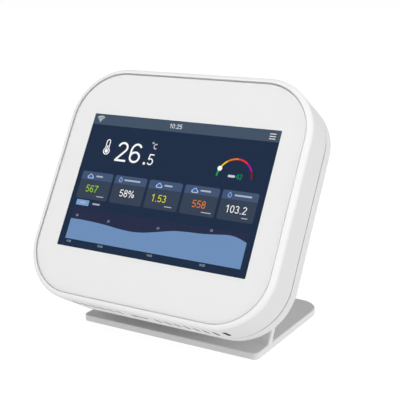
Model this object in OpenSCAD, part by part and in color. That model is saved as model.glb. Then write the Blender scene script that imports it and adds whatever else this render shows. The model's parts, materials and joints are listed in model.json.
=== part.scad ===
// Air quality monitor: a glass-fronted housing hung on a one-piece desk stand.
// Millimetres, +Z up, +X across the screen, -Y towards the reader.
// The origin is on the desk, under the middle of the whole object.

/* [Housing] */
// Width of the housing
housing_w = 107.3; // [106:0.1:112]
// Height of the housing, measured up its front face
housing_h = 96.2; // [95:0.1:100]
// Corner radius of the housing
housing_r = 22.5; // [21:0.5:24]
// Depth from the glass to the seam between front housing and back cover
seam_d = 15.4; // [15:0.1:17]
// Depth of the back cover's rim behind the seam
rim_d = 6.3; // [5:0.1:8]
// How far the back cover's rim stands inside the front housing's outline
rim_inset = 0; // [0:0.1:0.5]
// Wall thickness of the front housing
wall = 2.2; // [1.8:0.1:2.4]
// Radius of the rounded rim around the glass
rim_round = 2.1; // [1.5:0.1:2.3]
// Width of the shadow gap at the seam
seam_gap = 0.55; // [0.2:0.05:0.6]

/* [Sensor bay] */
// Width of the bay on the back cover
bay_w = 80; // [79:0.5:82]
// Height of the bay
bay_h = 76; // [75:0.5:78]
// Corner radius of the bay
bay_r = 12; // [10:0.5:12]
// Depth from the glass to the back of the bay
bay_back_d = 37.2; // [37:0.1:40]
// Wall thickness of the back cover
cover_wall = 2; // [1.6:0.1:2]

/* [Glass and display] */
// Gap between the glass and the housing
glass_gap = 0.12; // [0.1:0.01:0.3]
// Thickness of the cover glass
glass_t = 0.7; // [0.5:0.1:0.8]
// Width of the clear window in the printed border
window_w = 83.5; // [83:0.1:86]
// Height of the clear window
window_h = 55.7; // [55.2:0.1:58]

/* [Underside] */
// Number of vent slots on each side of the inlet
vents_per_side = 8; // [4:1:8]
// Distance from one vent slot to the next
vent_pitch = 4.05; // [3.5:0.05:4.1]
// Distance of the first vent slot from the middle
vent_start = 8.75; // [8:0.05:9]
// Width of a vent slot
vent_w = 1.3; // [1:0.1:1.6]
// Length of a vent slot
vent_l = 6.2; // [4:0.1:6.4]
// Width of the hole for the power inlet
inlet_hole_w = 7.6; // [7.4:0.1:8.4]
// Height of the hole for the power inlet
inlet_hole_h = 2.8; // [2.6:0.1:3.2]

/* [Stand] */
// Lean of the screen back from upright, in degrees
lean = 30; // [26:1:30]
// Width of the base plate and the upright
stand_w = 80.5; // [78:0.1:84]
// Depth of the base plate
base_d = 61.5; // [58:0.5:66]
// Thickness of the base plate
base_t = 2.8; // [2.6:0.1:3.2]
// Thickness of the upright
upright_t = 3; // [2.6:0.1:3.2]
// Top of the upright above the middle of the screen, measured up the slope
upright_top = 2; // [0:1:10]
// Height of the middle of the screen above the desk
screen_z = 61.4; // [61:0.1:64]
// How far the feet stand out below the base plate
foot_out = 0.6; // [0.4:0.1:0.8]
// Radius of a foot
foot_r = 4.5; // [3.5:0.5:5]

/* [Hidden] */
$fn = 72;
eps = 0.01;

// Placing of the tilted screen over the base
front_reach = housing_h / 2 * sin(lean) - rim_round * (sin(lean) + cos(lean) - 1);
overall_d = base_d + front_reach;
base_front_y = front_reach - overall_d / 2;
base_mid_y = base_front_y + base_d / 2;
screen_y = base_front_y;
base_top_z = foot_out + base_t;

// Depth stations behind the face of the glass
mask_d = [glass_t + 0.02, glass_t + 0.12];
tape_d = [mask_d[1], 1.5];
touch_d = [mask_d[1], 1.2];
picture_gap = 0.15;
lcd_front_d = touch_d[1] + picture_gap;
panel_d = [lcd_front_d, lcd_front_d + 1.2];
backlight_d = [panel_d[1], panel_d[1] + 1.4];
frame_back_d = backlight_d[1] + 0.5;
shelf_d = [tape_d[1], 3.1];
board_d = [8.4, 10];
boss_end_d = 12.6;
rim_back_d = seam_d + rim_d;

// Front stack
rim_flat = [0.13, 0.09];
glass_w = housing_w - 2 * (rim_round + rim_flat[0]);
glass_h = housing_h - 2 * (rim_round + rim_flat[1]);
glass_r = housing_r - rim_round - 0.1;
print_inset = glass_gap + 0.12;
print_w = glass_w - 2 * print_inset;
print_h = glass_h - 2 * print_inset;
print_r = glass_r - print_inset;
shelf_window = [97.4, 66];
touch_size = [96, 65];
panel_size = [91.4, 60.8];
frame_wall = 0.5;
frame_clear = 0.05;

// Screws and bosses
case_boss_r = 3.2;
case_boss_x = housing_w / 2 - housing_r + (housing_r - wall - 2.7) * cos(45);
case_boss_y = housing_h / 2 - housing_r + (housing_r - wall - 2.7) * sin(45);
case_screw_r = 1.1;
screw_fit = 0.05;
case_head_r = 2.1;
case_head_d = [rim_back_d - 1.8, rim_back_d - 0.4];
board_screw_x = 35;
board_screw_y = [-40.5, 34];
board_screw_r = 0.9;
board_boss_r = 2.5;
board_head_r = 1.9;
board_head_t = 1.2;

// Underside openings
vent_front_d = 3.7;
vent_d = [vent_front_d, vent_front_d + vent_l];
inlet_d = 7.1;
inlet_size = [7.1, 5.6, 2.6];
inlet_round = 0.9;
inlet_mouth_y = -housing_h / 2 + 1.2;

// Keyholes in the bay and studs on the upright
stud_x = 20;
stud_y = -12;
stud_r = 2;
stud_head_r = 3.8;
stud_clear = 0.3;
key_travel = 7;
key_pocket_d = 30.2;
key_pocket_half_w = 5.2;
bay_inner_d = bay_back_d - cover_wall;
stud_head_d = [bay_inner_d - 1.8, bay_inner_d - stud_clear];
upright_d = [bay_back_d + stud_clear, bay_back_d + stud_clear + upright_t];

// Dust sensor: x range, y range, depth range
pm_x = [-35.5, 14.5];
pm_y = [-6, 32];
pm_d = [12, 33];
pm_wall = 1.2;
pm_cover_t = 0.8;
fan_at = [-24, 20];
fan_bore_r = 9.2;
fan_bore_d = [pm_d[0] + 2, pm_d[0] + 12];
fan_blade_d = [pm_d[0] + 3, pm_d[0] + 10];
fan_blades = 7;
fan_tip_r = 8.6;
fan_hub_r = 4;
fan_shaft_r = 0.9;
laser_r = 2.9;
laser_at = [6, 22];
laser_d = 22;
laser_long = 11;
lens_r = 1.2;
fan_block = [[pm_x[0] + pm_wall, -13.5], [9.5, pm_y[1] - pm_wall]];
fan_outlet_y = [15, 25];
air_inlet_y = [-2, 6];
cover_hole_r = 5;
detector_x = [-12.5, 1.5];
detector_y = [-4.5, 30.5];
detector_t = 1.2;
gasket_y = [-4, 28];
gasket_d = [13.5, 33];
gasket_open_y = [[-2, 12], [15, 26]];
gasket_open_d = [15.5, 31];

// Boards and the parts on them: each package is x, y, width, height, thickness
board_half_w = 38;
board_y = [-44, 38];
chips = [[-8, 14, 14, 14, 1.2], [7, 17, 8, 6, 1], [-26, -16, 5, 5, 0.9]];
supply_x = [-31, -24];
coil = [-27, 5, 2.4];
capacitor = [-35.5, 2.2, 4.5];
wifi_x = [19, 37];
wifi_y = [-36, -12];
wifi_t = 0.8;
shield_x = [20.5, 35.5];
shield_y = [-35, -18.5];
shield_h = 2.3;
sheet_t = 0.3;
climate_x = [-32, -18];
climate_y = [-44.5, -37];
climate_d = [6, 6.8];
co2_x = [-17, 16];
co2_y = [-34, -14];
co2_d = [13, 14];
gas_x = [19, 35];
gas_y = [12, 30];
gas_d = [13, 14];
gas_at = [27, 19];
cable_socket = [23, 3, 8, 5];
cable_y = [1.6, 4.4];
cable_t = 0.8;
cable_d = 17;

// Display ribbon
flex_w = 22;
flex_t = 0.2;
flex_fold_y = -38;
flex_end_y = -36;
flex_d = [frame_back_d - 0.2, 7.7];

// Vent slots of the bay
bay_vents = 7;
bay_vent_pitch = 3.6;
bay_vent_size = [1.6, 9];
bay_vent_from = [3, 1];
bay_vent_d = [25, 25 + bay_vent_size[1]];

// Rounded edges of the stand
base_edge = 0.5;
base_under_edge = 0.3;
base_front_r = 2.4;
base_back_r = 9.7;
upright_edge = 0.8;
upright_top_r = 8;
fillet_r = 1.5;
foot_inset = 9;
foot_depth = 0.6;

// ---------------------------------------------------------------- helpers

// Tilted frame: x across, y up the front face, z out of the glass.
// Depths are measured back from the glass, so depth d is z = -d.
module in_monitor() {
    translate([0, screen_y, screen_z]) rotate([90 - lean, 0, 0]) children();
}

// Box given by its x, y and depth ranges
module block(x, y, d) {
    translate([x[0], y[0], -d[1]]) cube([x[1] - x[0], y[1] - y[0], d[1] - d[0]]);
}

// Round pin standing along the depth
module peg(x, y, r, d) {
    translate([x, y, -d[1]]) cylinder(r = r, h = d[1] - d[0]);
}

// Rounded rectangle
module rounded(w, h, r) {
    square([w - 2 * r, h], center = true);
    square([w, h - 2 * r], center = true);
    for (x = [-1, 1], y = [-1, 1])
        translate([x * (w / 2 - r), y * (h / 2 - r)]) circle(r);
}

// Rounded rectangle extruded over a depth range
module slab(w, h, r, d) {
    translate([0, 0, -d[1]]) linear_extrude(d[1] - d[0]) rounded(w, h, r);
}

// Rectangular ring over a depth range
module ring(w, h, r, hole_w, hole_h, hole_r, d) {
    difference() {
        slab(w, h, r, d);
        slab(hole_w, hole_h, hole_r, [d[0] - 1, d[1] + 1]);
    }
}

// Section through a rounded edge, from x = 0 out to x = reach
module edge_section(reach, t, top, bottom) {
    translate([0, bottom]) square([reach, t - top - bottom]);
    translate([0, t - top - eps]) square([reach - top, top + eps]);
    square([reach - bottom, bottom + eps]);
    translate([reach - top, t - top]) circle(top);
    translate([reach - bottom, bottom]) circle(bottom);
}

// Plate with rounded corners and rounded upper and lower edges, standing on z = 0
module soft_plate(w, h, r, t, top, bottom) {
    for (x = [-1, 1], y = [-1, 1])
        translate([x * (w / 2 - r), y * (h / 2 - r), 0])
            rotate_extrude() edge_section(r, t, top, bottom);
    for (side = [0, 180]) {
        rotate([0, 0, side])
            translate([w / 2 - r, h / 2 - r, 0])
                rotate([90, 0, 0]) linear_extrude(h - 2 * r) edge_section(r, t, top, bottom);
        rotate([0, 0, side + 90])
            translate([h / 2 - r, w / 2 - r, 0])
                rotate([90, 0, 0]) linear_extrude(w - 2 * r) edge_section(r, t, top, bottom);
    }
    translate([r - w / 2, r - h / 2, 0]) cube([w - 2 * r, h - 2 * r, t]);
}

// Soft plate over a depth range: front and back are the radii of its two edges
module soft_slab(w, h, r, d, front, back) {
    translate([0, 0, -d[1]]) soft_plate(w, h, r, d[1] - d[0], front, back);
}

// Children repeated at the four corners of a rectangle centred on the screen
module at_corners(x, y) {
    for (sx = [-1, 1], sy = [-1, 1]) translate([sx * x, sy * y, 0]) children();
}

// Children repeated at the four screws of the main board
module at_board_screws() {
    for (x = [-board_screw_x, board_screw_x], y = board_screw_y) translate([x, y, 0]) children();
}

// Square-cornered package centred at x, y
module slab_at(x, y, w, h, d) {
    block([x - w / 2, x + w / 2], [y - h / 2, y + h / 2], d);
}

// Package standing on the back of the main board
module on_board(x, y, w, h, t) {
    slab_at(x, y, w, h, [board_d[1], board_d[1] + t]);
}

// Cross-shaped driver recess, sunk from depth d towards the front
module cross_recess(d, span) {
    for (turn = [0, 90]) rotate([0, 0, turn])
        block([-span / 2, span / 2], [-0.3, 0.3], [d - 0.7, d + 1]);
}

// ---------------------------------------------------------------- front stack

module cover_glass() {
    color([0.93, 0.95, 0.96, 0.4]) in_monitor()
        soft_slab(glass_w - 2 * glass_gap, glass_h - 2 * glass_gap, glass_r - glass_gap,
                  [0, glass_t], 0.25, 0.1);
}

module border_mask() {
    color([0.92, 0.92, 0.92]) in_monitor()
        ring(print_w, print_h, print_r, window_w, window_h, 0.4, mask_d);
}

module glass_tape() {
    color([0.15, 0.15, 0.16]) in_monitor()
        ring(print_w, print_h, print_r, shelf_window[0], shelf_window[1], 2, tape_d);
}

module touch_sensor() {
    color([0.8, 0.88, 0.9, 0.3]) in_monitor() slab(touch_size[0], touch_size[1], 1.5, touch_d);
}

module lcd_panel() {
    color([0.13, 0.19, 0.29]) in_monitor() slab(panel_size[0], panel_size[1], 0.5, panel_d);
}

module lcd_backlight() {
    color([0.95, 0.95, 0.92]) in_monitor()
        slab(panel_size[0], panel_size[1], 0.5, backlight_d);
}

// Pressed tray around the display's layers
module lcd_frame() {
    inner_w = panel_size[0] + 2 * frame_clear;
    inner_h = panel_size[1] + 2 * frame_clear;
    color([0.72, 0.73, 0.75]) in_monitor()
        difference() {
            slab(inner_w + 2 * frame_wall, inner_h + 2 * frame_wall, 0.9,
                 [touch_d[1], frame_back_d]);
            slab(inner_w, inner_h, 0.5, [lcd_front_d - 1, backlight_d[1]]);
        }
}

// Ribbon from the display's lower edge, folded back into the board's socket
module display_flex() {
    mid = (flex_d[0] + flex_d[1]) / 2;
    outer_r = (flex_d[1] - flex_d[0]) / 2 + flex_t / 2;
    x = [-flex_w / 2, flex_w / 2];
    tray_y = -panel_size[1] / 2 - frame_wall - frame_clear;
    color([0.85, 0.55, 0.15]) in_monitor() {
        block(x, [flex_fold_y, tray_y], [flex_d[0] - flex_t / 2, flex_d[0] + flex_t / 2]);
        block(x, [flex_fold_y, flex_end_y], [flex_d[1] - flex_t / 2, flex_d[1] + flex_t / 2]);
        intersection() {
            translate([x[0], flex_fold_y, -mid]) rotate([0, 90, 0]) difference() {
                cylinder(r = outer_r, h = flex_w);
                translate([0, 0, -1]) cylinder(r = outer_r - flex_t, h = flex_w + 2);
            }
            block([x[0] - 1, x[1] + 1], [flex_fold_y - 4, flex_fold_y + eps], [2, 10]);
        }
    }
}

// ---------------------------------------------------------------- shells

// One vent slot through the lower wall, with round ends
module vent_slot(x) {
    r = vent_w / 2;
    translate([x, -housing_h / 2 + 12, 0]) rotate([90, 0, 0]) linear_extrude(14) {
        translate([-r, -vent_d[1] + r]) square([vent_w, vent_l - vent_w]);
        translate([0, -vent_d[0] - r]) circle(r);
        translate([0, -vent_d[1] + r]) circle(r);
    }
}

// Hole in the lower wall that the power inlet looks out of
module inlet_hole() {
    r = inlet_round + 0.1;
    translate([0, -housing_h / 2 + wall + 1, -inlet_d]) rotate([90, 0, 0])
        linear_extrude(wall + 2) rounded(inlet_hole_w, inlet_hole_h, r);
}

module front_housing() {
    inner_w = housing_w - 2 * wall;
    inner_h = housing_h - 2 * wall;
    color([0.95, 0.95, 0.95]) in_monitor() {
        difference() {
            soft_slab(housing_w, housing_h, housing_r, [0, seam_d - seam_gap / 2], rim_round, 0.2);
            slab(glass_w, glass_h, glass_r, [-1, shelf_d[0]]);
            slab(shelf_window[0], shelf_window[1], 2, [-1, 5]);
            slab(inner_w, inner_h, housing_r - wall, [shelf_d[1], seam_d + 1]);
            for (side = [-1, 1], i = [0 : vents_per_side - 1])
                vent_slot(side * (vent_start + i * vent_pitch));
            inlet_hole();
        }
        at_corners(case_boss_x, case_boss_y) difference() {
            peg(0, 0, case_boss_r, [shelf_d[1] - eps, boss_end_d]);
            peg(0, 0, case_screw_r + screw_fit, [5, boss_end_d + 1]);
        }
        at_board_screws() difference() {
            peg(0, 0, board_boss_r, [shelf_d[1] - eps, board_d[0]]);
            peg(0, 0, board_screw_r + screw_fit, [5, board_d[0] + 1]);
        }
        for (x = [climate_x[0] + 2, climate_x[1] - 2])
            block([x - 1, x + 1], [climate_y[0] + 2, climate_y[1] - 1.5],
                  [shelf_d[1] - eps, climate_d[0]]);
    }
}

// Keyhole seen from behind: a round entry below a narrow slot
module keyhole(d) {
    peg(0, stud_y - key_travel, stud_head_r + 0.5, d);
    peg(0, stud_y, stud_r + stud_clear, d);
    block([-stud_r - stud_clear, stud_r + stud_clear], [stud_y - key_travel, stud_y], d);
}

// Closed box inside the bay behind one keyhole
module key_pocket(skin) {
    block([-key_pocket_half_w - skin, key_pocket_half_w + skin],
          [stud_y - key_travel - 5 - skin, stud_y + 4.6 + skin],
          [key_pocket_d - skin, bay_inner_d + eps]);
}

// Slots through both side walls of the bay and its top wall
module bay_vent_cuts() {
    half = bay_vent_size[0] / 2;
    for (side = [-1, 1], i = [0 : bay_vents - 1]) {
        x = side * bay_w / 2;
        y = bay_vent_from[1] + i * bay_vent_pitch;
        block([x - 4, x + 4], [y, y + 2 * half], bay_vent_d);
    }
    for (side = [-1, 1], i = [0 : bay_vents - 2]) {
        x = side * (bay_vent_from[0] + i * bay_vent_pitch);
        block([x - half, x + half], [bay_h / 2 - 4, bay_h / 2 + 4], bay_vent_d);
    }
}

// Clearance holes and head wells for the case screws
module case_screw_holes() {
    at_corners(case_boss_x, case_boss_y) {
        peg(0, 0, case_screw_r + 0.15, [10, rim_back_d]);
        peg(0, 0, case_head_r + 0.4, [case_head_d[0], rim_back_d + 1]);
    }
}

module back_cover() {
    rim_w = housing_w - 2 * rim_inset;
    rim_h = housing_h - 2 * rim_inset;
    lip_w = housing_w - 2 * wall - 0.3;
    lip_h = housing_h - 2 * wall - 0.3;
    lip_r = housing_r - wall - 0.15;
    lip_t = 1;
    inner_w = lip_w - 2 * lip_t;
    inner_h = lip_h - 2 * lip_t;
    color([0.95, 0.95, 0.95]) in_monitor() {
        difference() {
            union() {
                soft_slab(rim_w, rim_h, housing_r - rim_inset,
                          [seam_d + seam_gap / 2, rim_back_d], 0.2, 1.4);
                slab(lip_w, lip_h, lip_r, [seam_d - 2, seam_d + 2]);
                soft_slab(bay_w, bay_h, bay_r, [rim_back_d - 3, bay_back_d], 0.5, 2.4);
            }
            slab(inner_w, inner_h, lip_r - lip_t, [seam_d - 3, rim_back_d - cover_wall]);
            slab(bay_w - 2 * cover_wall, bay_h - 2 * cover_wall, bay_r - cover_wall,
                 [seam_d, bay_inner_d]);
            for (side = [-1, 1]) translate([side * stud_x, 0, 0])
                keyhole([bay_inner_d - 1, bay_back_d + 1]);
            case_screw_holes();
            bay_vent_cuts();
        }
        difference() {
            intersection() {
                at_corners(case_boss_x, case_boss_y)
                    peg(0, 0, case_boss_r, [boss_end_d, rim_back_d - 1]);
                slab(lip_w, lip_h, lip_r, [boss_end_d - 1, rim_back_d]);
            }
            case_screw_holes();
        }
        for (side = [-1, 1]) translate([side * stud_x, 0, 0]) difference() {
            key_pocket(1.2);
            key_pocket(0);
        }
        for (x = [pm_x[0] + 6, pm_x[1] - 6])
            block([x - 1, x + 1], [pm_y[0] + 6, pm_y[1] - 4], [pm_d[1], bay_inner_d + eps]);
    }
}

// Pan-head self-tapping screws that close the case from behind
module case_screws() {
    color([0.7, 0.7, 0.72]) in_monitor() at_corners(case_boss_x, case_boss_y) difference() {
        union() {
            peg(0, 0, case_screw_r, [6, case_head_d[1] - 0.5]);
            peg(0, 0, case_head_r, case_head_d);
        }
        cross_recess(case_head_d[1], 2.2);
    }
}

// ---------------------------------------------------------------- electronics

module main_board() {
    color([0.1, 0.35, 0.2]) in_monitor() difference() {
        translate([0, (board_y[0] + board_y[1]) / 2, 0])
            slab(2 * board_half_w, board_y[1] - board_y[0], 3, board_d);
        at_board_screws() peg(0, 0, board_screw_r + 0.2, [board_d[0] - 1, board_d[1] + 1]);
    }
}

module board_screws() {
    head_d = [board_d[1], board_d[1] + board_head_t];
    color([0.7, 0.7, 0.72]) in_monitor() at_board_screws()
        difference() {
            union() {
                peg(0, 0, board_screw_r, [5.6, board_d[1] + 0.5]);
                peg(0, 0, board_head_r, head_d);
            }
            cross_recess(head_d[1], 1.8);
        }
}

// Flat packages on the back of the board: processor, memory and charger
module main_chips() {
    color([0.12, 0.12, 0.13]) in_monitor()
        for (c = chips) on_board(c[0], c[1], c[2], c[3], c[4]);
}

// Coils and round capacitors of the supply
module power_parts() {
    color([0.3, 0.3, 0.33]) in_monitor() for (x = supply_x) {
        on_board(x, coil[0], coil[1], coil[1], coil[2]);
        peg(x, capacitor[0], capacitor[1], [board_d[1], board_d[1] + capacitor[2]]);
    }
}

// Ribbon socket on the front of the board, cable socket on its back
module board_connectors() {
    color([0.92, 0.9, 0.84]) in_monitor() {
        difference() {
            block([-flex_w / 2 - 2, flex_w / 2 + 2], [flex_end_y, flex_end_y + 4],
                  [flex_d[1] - 0.7, board_d[0]]);
            block([-flex_w / 2 - 0.1, flex_w / 2 + 0.1], [flex_end_y - 1, flex_end_y + 1],
                  [flex_d[1] - 0.2, flex_d[1] + 0.2]);
        }
        difference() {
            on_board(cable_socket[0], cable_socket[1], cable_socket[2], cable_socket[3], 4);
            slab_at(cable_socket[0], cable_socket[1], cable_socket[2] - 1.6, cable_socket[3] - 1.6,
                    [board_d[1] + 1.5, board_d[1] + 5]);
        }
    }
}

// Small socket for the supply lead, its mouth in the lower wall
module power_inlet() {
    w = inlet_size[0];
    h = inlet_size[2];
    long = inlet_size[1];
    mid_d = board_d[0] - h / 2;
    tongue_w = w - 2.8;
    color([0.75, 0.76, 0.78]) in_monitor() translate([0, inlet_mouth_y + long, -mid_d])
        rotate([90, 0, 0]) {
            difference() {
                linear_extrude(long) rounded(w, h, inlet_round);
                translate([0, 0, 1]) linear_extrude(long)
                    rounded(w - 2 * sheet_t, h - 2 * sheet_t, inlet_round - sheet_t);
            }
            translate([-tongue_w / 2, -0.5, 1 - eps]) cube([tongue_w, 0.6, long - 1.9]);
        }
}

module wifi_module() {
    color([0.08, 0.2, 0.35]) in_monitor() block(wifi_x, wifi_y, [board_d[1], board_d[1] + wifi_t]);
}

module wifi_shield() {
    top = board_d[1] + wifi_t;
    color([0.78, 0.79, 0.8]) in_monitor() difference() {
        block(shield_x, shield_y, [top, top + shield_h]);
        block([shield_x[0] + sheet_t, shield_x[1] - sheet_t],
              [shield_y[0] + sheet_t, shield_y[1] - sheet_t], [top - 1, top + shield_h - sheet_t]);
    }
}

// Air pressure sensor with its port hole
module pressure_sensor() {
    color([0.8, 0.8, 0.82]) in_monitor() difference() {
        slab_at(-33, -20, 3, 3, [board_d[1], board_d[1] + 1]);
        peg(-33.6, -19.4, 0.3, [board_d[1] + 0.5, board_d[1] + 2]);
    }
}

// Separate small board behind the vent slots, clear of the warm main board
module climate_board() {
    color([0.1, 0.35, 0.2]) in_monitor() block(climate_x, climate_y, climate_d);
}

module climate_chip() {
    color([0.85, 0.85, 0.85]) in_monitor()
        slab_at((climate_x[0] + climate_x[1]) / 2, climate_y[0] + 3, 2.5, 2.5,
                [climate_d[1], climate_d[1] + 0.9]);
}

module co2_board() {
    color([0.1, 0.35, 0.2]) in_monitor() block(co2_x, co2_y, co2_d);
}

module co2_header() {
    color([0.12, 0.12, 0.13]) in_monitor()
        for (y = [co2_y[0] + 1.5, co2_y[1] - 1.5])
            on_board((co2_x[0] + co2_x[1]) / 2, y, 15, 2.4, co2_d[0] - board_d[1]);
}

// Infrared measuring chamber with its air window
module co2_chamber() {
    d = [co2_d[1], co2_d[1] + 6.5];
    x = [co2_x[0] + 4, co2_x[1] - 5];
    y = [co2_y[0] + 3, co2_y[1] - 3];
    color([0.86, 0.72, 0.35]) in_monitor() difference() {
        union() {
            block(x, y, d);
            peg(x[1], (y[0] + y[1]) / 2, 4, d);
        }
        block([x[0] + 1, x[1] - 1], [y[0] + 1, y[1] - 1], [d[0] - 1, d[1] - 0.8]);
        block([x[0] + 4, x[1] - 4], [y[0] + 4, y[1] - 4], [d[1] - 2, d[1] + 1]);
    }
}

module gas_board() {
    color([0.1, 0.35, 0.2]) in_monitor() {
        block(gas_x, gas_y, gas_d);
        on_board((gas_x[0] + gas_x[1]) / 2, gas_y[1] - 2, 12, 2.4, gas_d[0] - board_d[1] + eps);
    }
}

// Metal can with an open cap over the sensing pellet
module gas_sensor() {
    d = [gas_d[1], gas_d[1] + 7];
    color([0.8, 0.8, 0.82]) in_monitor() difference() {
        union() {
            peg(gas_at[0], gas_at[1], 5, [d[0], d[0] + 1]);
            peg(gas_at[0], gas_at[1], 4.4, d);
        }
        peg(gas_at[0], gas_at[1], 4, [d[0] + 1, d[1] - 0.5]);
        peg(gas_at[0], gas_at[1], 2.6, [d[1] - 1, d[1] + 1]);
    }
}

// ---------------------------------------------------------------- dust sensor

// Tray with a fan pocket, an outlet and an inlet in its left wall, and a saddle for the laser
module pm_case() {
    floor_d = pm_d[1] - pm_wall;
    d = [pm_d[0] + pm_cover_t, pm_d[1]];
    inner_x = [pm_x[0] + pm_wall, pm_x[1] - pm_wall];
    inner_y = [pm_y[0] + pm_wall, pm_y[1] - pm_wall];
    color([0.13, 0.13, 0.14]) in_monitor() difference() {
        union() {
            difference() {
                block(pm_x, pm_y, d);
                block(inner_x, inner_y, [d[0] - 1, floor_d]);
            }
            block([fan_block[0][0] - eps, fan_block[0][1]], [fan_block[1][0], fan_block[1][1] + eps],
                  [fan_bore_d[0], floor_d + eps]);
            block([laser_at[0] - 4, laser_at[0] + 4], [laser_at[1] - 8, laser_at[1] + 4],
                  [laser_d, floor_d + eps]);
        }
        peg(fan_at[0], fan_at[1], fan_bore_r, [fan_bore_d[0] - 1, fan_bore_d[1]]);
        peg(fan_at[0], fan_at[1], fan_shaft_r + 0.01, [fan_bore_d[0], fan_bore_d[1] + 4]);
        block([pm_x[0] - 1, fan_at[0]], fan_outlet_y, [fan_bore_d[0] + 2, fan_bore_d[1] - 1]);
        block([pm_x[0] - 1, pm_x[0] + 3], air_inlet_y, [fan_bore_d[0] + 2, fan_bore_d[1] + 2]);
        translate([laser_at[0], laser_at[1] + 5, -laser_d]) rotate([90, 0, 0])
            cylinder(r = laser_r + 0.02, h = 14);
    }
}

module pm_cover() {
    color([0.75, 0.76, 0.78]) in_monitor() difference() {
        block(pm_x, pm_y, [pm_d[0], pm_d[0] + pm_cover_t]);
        peg(fan_at[0], fan_at[1], cover_hole_r, [pm_d[0] - 1, pm_d[1]]);
    }
}

module pm_detector_board() {
    d = pm_d[1] - pm_wall;
    color([0.1, 0.35, 0.2]) in_monitor() {
        block(detector_x, detector_y, [d - detector_t, d]);
        slab_at(-5, 20, 4, 5, [d - 3, d - detector_t + eps]);
    }
}

// Laser diode in a brass barrel with its lens bore
module pm_laser() {
    color([0.8, 0.62, 0.25]) in_monitor()
        translate([laser_at[0], laser_at[1] + 4, -laser_d]) rotate([90, 0, 0]) difference() {
            cylinder(r = laser_r, h = laser_long);
            translate([0, 0, laser_long - 2]) cylinder(r = lens_r, h = 3);
        }
}

module pm_fan_shaft() {
    color([0.7, 0.7, 0.72]) in_monitor()
        peg(fan_at[0], fan_at[1], fan_shaft_r, [fan_blade_d[0] - 0.5, fan_bore_d[1] + 4]);
}

// Hub with backward-curved blades, free on the shaft
module pm_fan_rotor() {
    blade_r = 7;
    color([0.2, 0.2, 0.22]) in_monitor() translate([fan_at[0], fan_at[1], -fan_blade_d[1]])
        linear_extrude(fan_blade_d[1] - fan_blade_d[0]) difference() {
            union() {
                circle(fan_hub_r);
                intersection() {
                    circle(fan_tip_r);
                    for (i = [0 : fan_blades - 1]) rotate([0, 0, i * 360 / fan_blades])
                        translate([6, -blade_r + 1]) difference() {
                            circle(blade_r);
                            circle(blade_r - 0.7);
                            translate([-12, -12]) square([24, 12]);
                            translate([-12, -1]) square([9.5, 24]);
                        }
                }
            }
            circle(fan_shaft_r + 0.05);
        }
}

// Foam frame that seals the dust sensor's openings to the bay's side vents
module pm_gasket() {
    x = [-bay_w / 2 + cover_wall, pm_x[0]];
    color([0.25, 0.25, 0.26]) in_monitor() difference() {
        intersection() {
            block(x, gasket_y, gasket_d);
            slab(bay_w - 2 * cover_wall - 0.1, bay_h - 2 * cover_wall - 0.1, bay_r - cover_wall,
                 [gasket_d[0] - 1, gasket_d[1] + 1]);
        }
        for (y = gasket_open_y) block([x[0] - 1, x[1] + 1], y, gasket_open_d);
    }
}

// Flat cable from the dust sensor to the board's socket
module pm_cable() {
    x = [cable_socket[0] - cable_t / 2, cable_socket[0] + cable_t / 2];
    color([0.85, 0.85, 0.82]) in_monitor() {
        block([pm_x[1], x[1]], cable_y, [cable_d, cable_d + cable_t]);
        block(x, cable_y, [board_d[1] + 1.5, cable_d + eps]);
    }
}

// ---------------------------------------------------------------- stand

// Bar that rounds the corner where the upright meets the base: y is the corner's place on the
// base's top, opening is the angle between the two faces, side is -1 for the front, 1 for the back
module foot_fillet(y, opening, side) {
    run = fillet_r / tan(opening / 2);
    long = fillet_r / sin(opening / 2);
    sink = 0.6;
    translate([-stand_w / 2 + base_edge, y, base_top_z]) rotate([90, 0, 90])
        linear_extrude(stand_w - 2 * base_edge) difference() {
            polygon([
                [-side * sink, -sink],
                [side * run, -sink],
                [side * run, 0],
                [side * long * cos(opening / 2), long * sin(opening / 2)],
                [side * run * cos(opening), run * sin(opening)],
                [side * run * cos(opening) - side * sink, run * sin(opening)]
            ]);
            translate([side * run, fillet_r]) circle(fillet_r);
        }
}

// Base plate, upright parallel to the monitor's back, and two headed studs for the keyholes
module stand() {
    foot_y = -46;
    upright_h = upright_top - foot_y;
    foot_line = screen_y + upright_d[0] / cos(lean) - (screen_z - base_top_z) * tan(lean);
    color([0.95, 0.95, 0.95]) {
        difference() {
            union() {
                translate([0, base_mid_y, foot_out])
                    soft_plate(stand_w, base_d, base_back_r, base_t, base_edge, base_under_edge);
                translate([0, base_mid_y - base_d / 4, foot_out])
                    soft_plate(stand_w, base_d / 2, base_front_r, base_t, base_edge,
                               base_under_edge);
            }
            translate([0, 0, foot_out - eps]) foot_discs(foot_r + 0.1, foot_depth + eps);
        }
        in_monitor() {
            translate([0, (upright_top + foot_y) / 2, 0])
                soft_slab(stand_w, upright_h, upright_top_r, upright_d, upright_edge, upright_edge);
            translate([0, foot_y + upright_h / 4, 0])
                soft_slab(stand_w, upright_h / 2, 1, upright_d, upright_edge, upright_edge);
            for (side = [-1, 1]) {
                peg(side * stud_x, stud_y, stud_r, [stud_head_d[0], upright_d[0] + 1]);
                peg(side * stud_x, stud_y, stud_head_r, stud_head_d);
            }
        }
        foot_fillet(foot_line, 90 + lean, -1);
        foot_fillet(foot_line + upright_t / cos(lean), 90 - lean, 1);
    }
}

// Discs at the four feet, standing on z = 0
module foot_discs(r, h) {
    x = stand_w / 2 - foot_inset;
    for (sx = [-1, 1], y = [base_front_y + foot_inset, base_front_y + base_d - foot_inset - 1])
        translate([sx * x, y, 0]) cylinder(r = r, h = h);
}

module stand_feet() {
    color([0.82, 0.82, 0.82]) foot_discs(foot_r, foot_out + foot_depth);
}

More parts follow.
